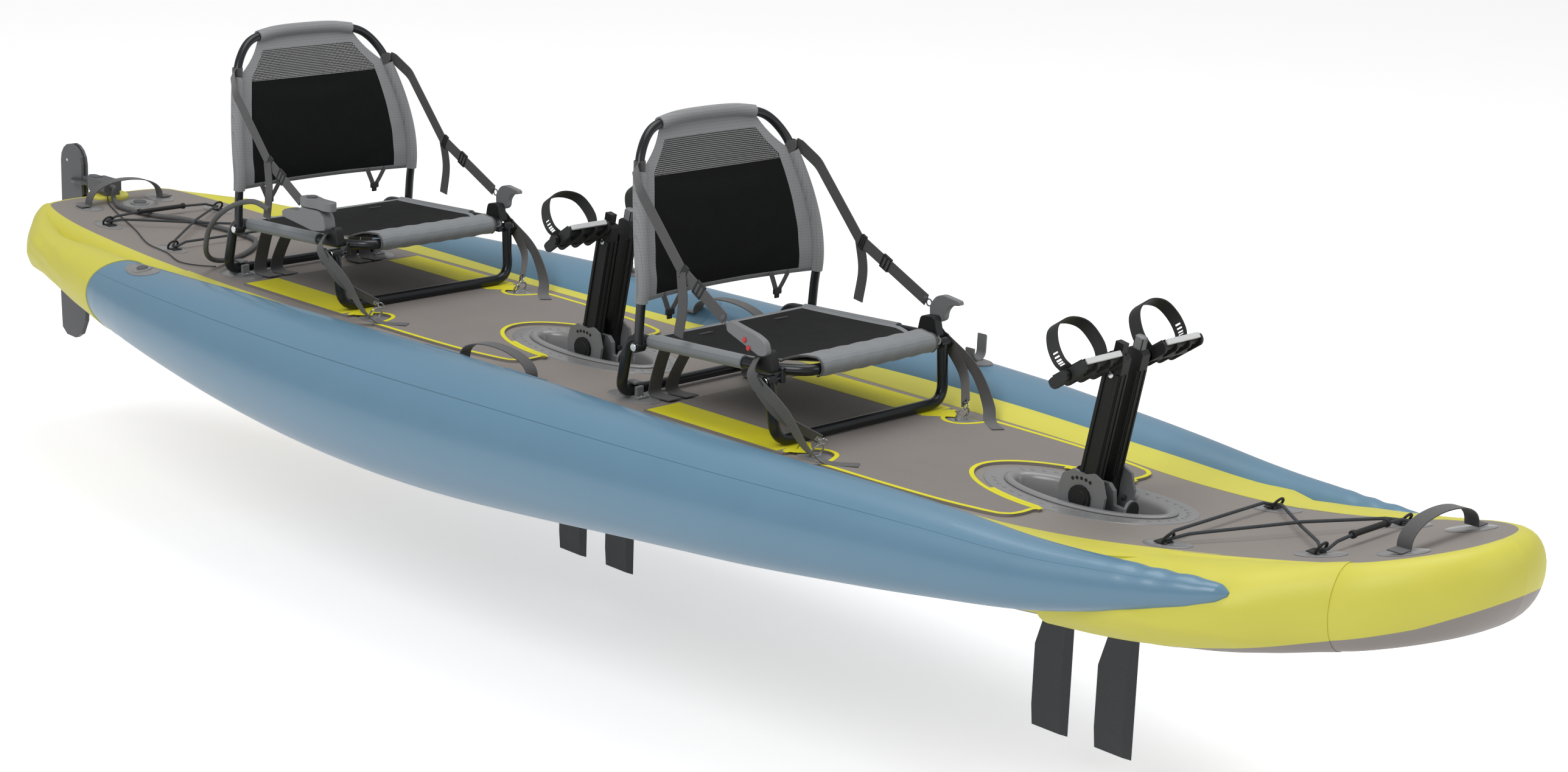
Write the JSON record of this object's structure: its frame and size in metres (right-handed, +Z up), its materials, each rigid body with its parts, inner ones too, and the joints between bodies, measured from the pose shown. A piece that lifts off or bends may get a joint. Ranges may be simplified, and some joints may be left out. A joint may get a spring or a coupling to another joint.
{
  "type": "inflatable tandem pedal kayak",
  "caption": "Inflatable tandem kayak with air tubes along each side, folding framed seats, pedal drives with swinging fins through deck wells, and a steered lifting rudder.",
  "frame": {"origin": "middle of the flat bottom of the hull, amidships on the centre plane", "axes": "+X to the bow, +Y to port, +Z up from the flat bottom to the deck"},
  "size_m": [4.3325, 1.111, 1.0335],
  "materials": {
    "deck_cloth": "matte",
    "deck_pad": "matte",
    "tube_cloth": "satin",
    "lime_cloth": "satin",
    "well_plastic": "gloss",
    "grey_plastic": "satin",
    "dark_plastic": "satin",
    "black_plastic": "satin",
    "seat_tube": "gloss",
    "seat_cloth": "matte",
    "webbing": "matte",
    "cord": "matte",
    "shaft_metal": "satin",
    "fin_rubber": "satin"
  },
  "bodies": {
    "hull": {"hull_board": "deck_cloth", "rudder_bracket": "dark_plastic", "steering_conduit": "cord", "uphaul_line": "cord", "bow_bungee": "cord", "stern_bungee": "cord", "bow_handle": "webbing", "stern_handle": "webbing", "pontoon_starboard": "tube_cloth", "gunwale_starboard": "lime_cloth", "bow_sleeve_starboard": "lime_cloth", "stern_sleeve_starboard": "lime_cloth", "pontoon_port": "tube_cloth", "gunwale_port": "lime_cloth", "bow_sleeve_port": "lime_cloth", "stern_sleeve_port": "lime_cloth", "paddle_hook_front": "grey_plastic", "drive_well_front": "well_plastic", "deck_pad_front": "deck_pad", "seat_frame_front": "seat_tube", "seat_sling_front": "seat_cloth", "recline_strap_starboard_front": "webbing", "tie_strap_starboard_front": "webbing", "recline_strap_port_front": "webbing", "tie_strap_port_front": "webbing", "drive_spine_front": "grey_plastic", "drive_shaft_front": "shaft_metal", "paddle_hook_rear": "grey_plastic", "drive_well_rear": "well_plastic", "deck_pad_rear": "deck_pad", "seat_frame_rear": "seat_tube", "seat_sling_rear": "seat_cloth", "recline_strap_starboard_rear": "webbing", "tie_strap_starboard_rear": "webbing", "recline_strap_port_rear": "webbing", "tie_strap_port_rear": "webbing", "drive_spine_rear": "grey_plastic", "drive_shaft_rear": "shaft_metal"},
    "steering_lever": {"steering_handle": "grey_plastic"},
    "rudder_carrier": {"rudder_head": "dark_plastic"},
    "rudder_vane": {"rudder_blade": "dark_plastic"},
    "leg_front": {"front_leg_front": "seat_tube"},
    "back_front": {"back_frame_front": "seat_tube", "back_fabric_front": "seat_cloth"},
    "arm_starboard_front": {"pedal_arm_starboard_front": "black_plastic"},
    "foot_starboard_front": {"pedal_starboard_front": "black_plastic"},
    "arm_port_front": {"pedal_arm_port_front": "black_plastic"},
    "foot_port_front": {"pedal_port_front": "black_plastic"},
    "fin_body_fore_front": {"fin_fore_front": "fin_rubber"},
    "fin_body_aft_front": {"fin_aft_front": "fin_rubber"},
    "leg_rear": {"front_leg_rear": "seat_tube"},
    "back_rear": {"back_frame_rear": "seat_tube", "back_fabric_rear": "seat_cloth"},
    "arm_starboard_rear": {"pedal_arm_starboard_rear": "black_plastic"},
    "foot_starboard_rear": {"pedal_starboard_rear": "black_plastic"},
    "arm_port_rear": {"pedal_arm_port_rear": "black_plastic"},
    "foot_port_rear": {"pedal_port_rear": "black_plastic"},
    "fin_body_fore_rear": {"fin_fore_rear": "fin_rubber"},
    "fin_body_aft_rear": {"fin_aft_rear": "fin_rubber"}
  },
  "joints": [
    {"name": "front_leg_fold_front", "type": "hinge", "parent": "hull", "child": "leg_front", "pos_m": [0.557, 0, 0.284], "axis": [0, 1, 0], "range_deg": [0, 70]},
    {"name": "back_fold_front", "type": "hinge", "parent": "hull", "child": "back_front", "pos_m": [0.193, 0, 0.276], "axis": [0, 1, 0], "range_deg": [-12, 65], "deforming": ["recline_strap_starboard_front", "recline_strap_port_front"]},
    {"name": "pedal_arm_swing_starboard_front", "type": "hinge", "parent": "hull", "child": "arm_starboard_front", "pos_m": [1.155, 0, 0.164], "axis": [0, 1, 0], "range_deg": [-25, 25]},
    {"name": "pedal_arm_swing_port_front", "type": "hinge", "parent": "hull", "child": "arm_port_front", "pos_m": [1.155, 0, 0.164], "axis": [0, 1, 0], "range_deg": [-25, 25]},
    {"name": "pedal_turn_starboard_front", "type": "hinge", "parent": "arm_starboard_front", "child": "foot_starboard_front", "pos_m": [1.2045, 0, 0.4213], "axis": [0, 1, 0], "range_deg": [-30, 30]},
    {"name": "pedal_turn_port_front", "type": "hinge", "parent": "arm_port_front", "child": "foot_port_front", "pos_m": [1.2045, 0, 0.4213], "axis": [0, 1, 0], "range_deg": [-30, 30]},
    {"name": "fin_sweep_fore_front", "type": "hinge", "parent": "hull", "child": "fin_body_fore_front", "pos_m": [1.265, 0, 0.004], "axis": [1, 0, 0], "range_deg": [-60, 60]},
    {"name": "fin_sweep_aft_front", "type": "hinge", "parent": "hull", "child": "fin_body_aft_front", "pos_m": [1.115, 0, 0.004], "axis": [1, 0, 0], "range_deg": [-60, 60]},
    {"name": "front_leg_fold_rear", "type": "hinge", "parent": "hull", "child": "leg_rear", "pos_m": [-0.788, 0, 0.284], "axis": [0, 1, 0], "range_deg": [0, 70]},
    {"name": "back_fold_rear", "type": "hinge", "parent": "hull", "child": "back_rear", "pos_m": [-1.152, 0, 0.276], "axis": [0, 1, 0], "range_deg": [-12, 65], "deforming": ["recline_strap_starboard_rear", "recline_strap_port_rear"]},
    {"name": "pedal_arm_swing_starboard_rear", "type": "hinge", "parent": "hull", "child": "arm_starboard_rear", "pos_m": [-0.19, 0, 0.164], "axis": [0, 1, 0], "range_deg": [-25, 25]},
    {"name": "pedal_arm_swing_port_rear", "type": "hinge", "parent": "hull", "child": "arm_port_rear", "pos_m": [-0.19, 0, 0.164], "axis": [0, 1, 0], "range_deg": [-25, 25]},
    {"name": "pedal_turn_starboard_rear", "type": "hinge", "parent": "arm_starboard_rear", "child": "foot_starboard_rear", "pos_m": [-0.1405, 0, 0.4213], "axis": [0, 1, 0], "range_deg": [-30, 30]},
    {"name": "pedal_turn_port_rear", "type": "hinge", "parent": "arm_port_rear", "child": "foot_port_rear", "pos_m": [-0.1405, 0, 0.4213], "axis": [0, 1, 0], "range_deg": [-30, 30]},
    {"name": "fin_sweep_fore_rear", "type": "hinge", "parent": "hull", "child": "fin_body_fore_rear", "pos_m": [-0.08, 0, 0.004], "axis": [1, 0, 0], "range_deg": [-60, 60]},
    {"name": "fin_sweep_aft_rear", "type": "hinge", "parent": "hull", "child": "fin_body_aft_rear", "pos_m": [-0.23, 0, 0.004], "axis": [1, 0, 0], "range_deg": [-60, 60]},
    {"name": "rudder_turn", "type": "hinge", "parent": "hull", "child": "rudder_carrier", "pos_m": [-2.142, 0, 0.194], "axis": [0, 0, 1], "range_deg": [-40, 40]},
    {"name": "rudder_lift", "type": "hinge", "parent": "rudder_carrier", "child": "rudder_vane", "pos_m": [-2.23, 0, 0.13], "axis": [0, 1, 0], "range_deg": [0, 90]},
    {"name": "steering_turn", "type": "hinge", "parent": "hull", "child": "steering_lever", "pos_m": [-0.868, -0.2448, 0.376], "axis": [0, 0, 1], "range_deg": [-40, 40]}
  ],
  "couplings": [
    {"joint": "pedal_arm_swing_port_front", "follows": "pedal_arm_swing_starboard_front", "ratio": -1},
    {"joint": "fin_sweep_fore_front", "follows": "pedal_arm_swing_starboard_front", "ratio": 2.4},
    {"joint": "fin_sweep_aft_front", "follows": "pedal_arm_swing_starboard_front", "ratio": -2.4},
    {"joint": "pedal_arm_swing_port_rear", "follows": "pedal_arm_swing_starboard_rear", "ratio": -1},
    {"joint": "fin_sweep_fore_rear", "follows": "pedal_arm_swing_starboard_rear", "ratio": 2.4},
    {"joint": "fin_sweep_aft_rear", "follows": "pedal_arm_swing_starboard_rear", "ratio": -2.4},
    {"joint": "steering_turn", "follows": "rudder_turn", "ratio": 1}
  ]
}
